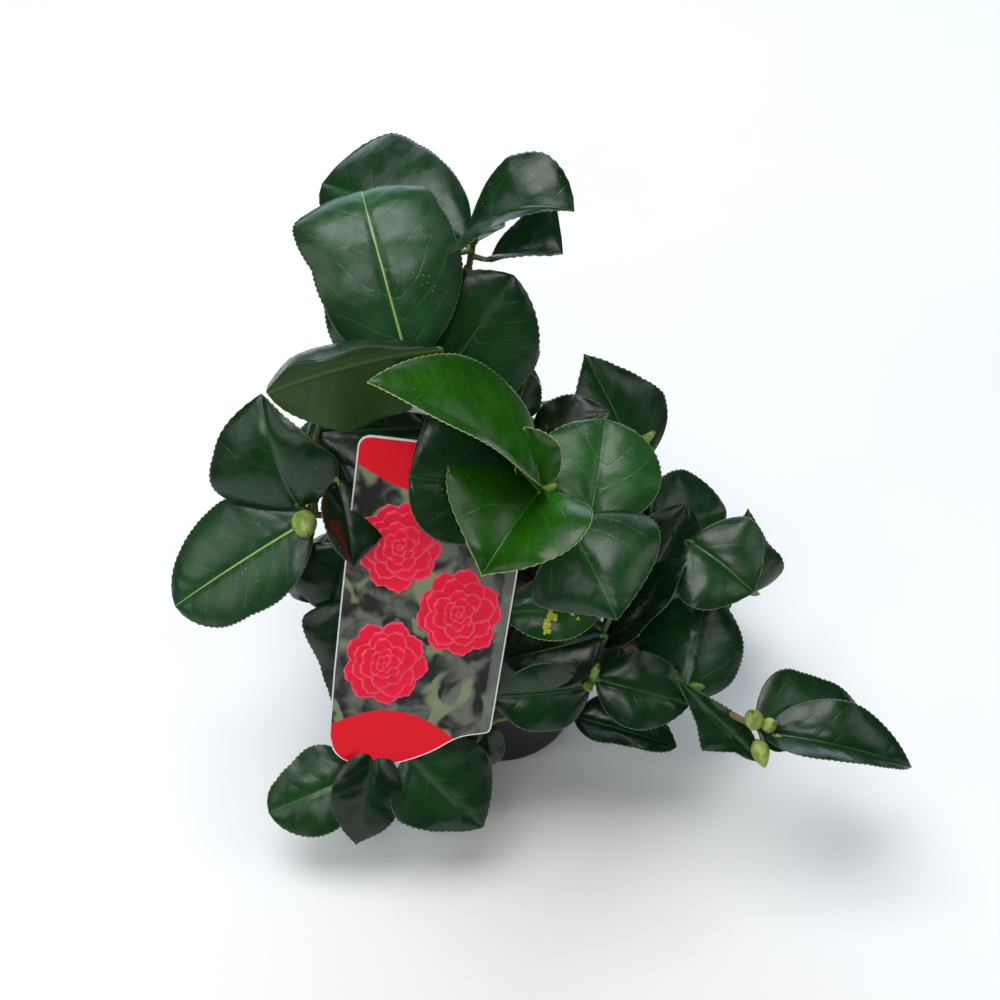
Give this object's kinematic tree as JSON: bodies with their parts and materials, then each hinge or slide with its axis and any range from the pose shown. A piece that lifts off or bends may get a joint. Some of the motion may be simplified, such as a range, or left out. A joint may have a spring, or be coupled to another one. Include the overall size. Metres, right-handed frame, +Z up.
{
  "type": "camellia shrub in a nursery pot",
  "caption": "Young camellia standing in its round nursery pot: a slender leaning stem, spreading boughs, masses of glossy evergreen leaves and a hanging picture label.",
  "frame": {"origin": "centre of the pot's flat underside, on the surface it stands on", "axes": "+Z up the plant, +X to the right seen from the front, -Y towards the front, where the label hangs"},
  "size_m": [0.3023, 0.2001, 0.2924],
  "materials": {
    "pot": "black moulded nursery plastic, faintly glossy",
    "compost": "moist dark potting compost, crumbly and matte",
    "bark": "thin grey-brown bark, slightly rough",
    "leaf": "deep green glossy evergreen leaves",
    "dark_leaf": "older, darker green glossy leaves",
    "young_leaf": "fresh bright green new leaves",
    "label": "printed plastic card, satin",
    "strap": "clear to white plastic hanging loop"
  },
  "bodies": {
    "root": {"pot": "pot", "compost": "compost", "main_stem": "bark", "bough_left": "bark", "bough_mid_left": "bark", "bough_front": "bark", "bough_upper_right": "bark", "bough_right": "bark", "bough_front_right": "bark", "bough_low_right": "bark", "bough_front_left": "bark", "bough_back_left": "bark", "bough_back_right": "bark", "bough_back": "bark", "label": "label", "label_strap": "strap", "leaves_crown_top": "leaf", "leaves_crown_front": "leaf", "leaves_crown_left": "leaf", "leaves_heart": "dark_leaf", "leaves_young": "young_leaf", "leaves_centre": "leaf", "leaves_upper_right": "leaf", "leaves_right": "leaf", "leaves_low_right": "leaf", "leaves_far_right": "leaf", "leaves_front_right": "leaf", "leaves_left": "leaf", "leaves_mid_left": "dark_leaf", "leaves_front_left": "leaf", "leaves_back_left": "dark_leaf", "leaves_back_right": "dark_leaf", "leaves_back": "dark_leaf"}
  },
  "joints": []
}
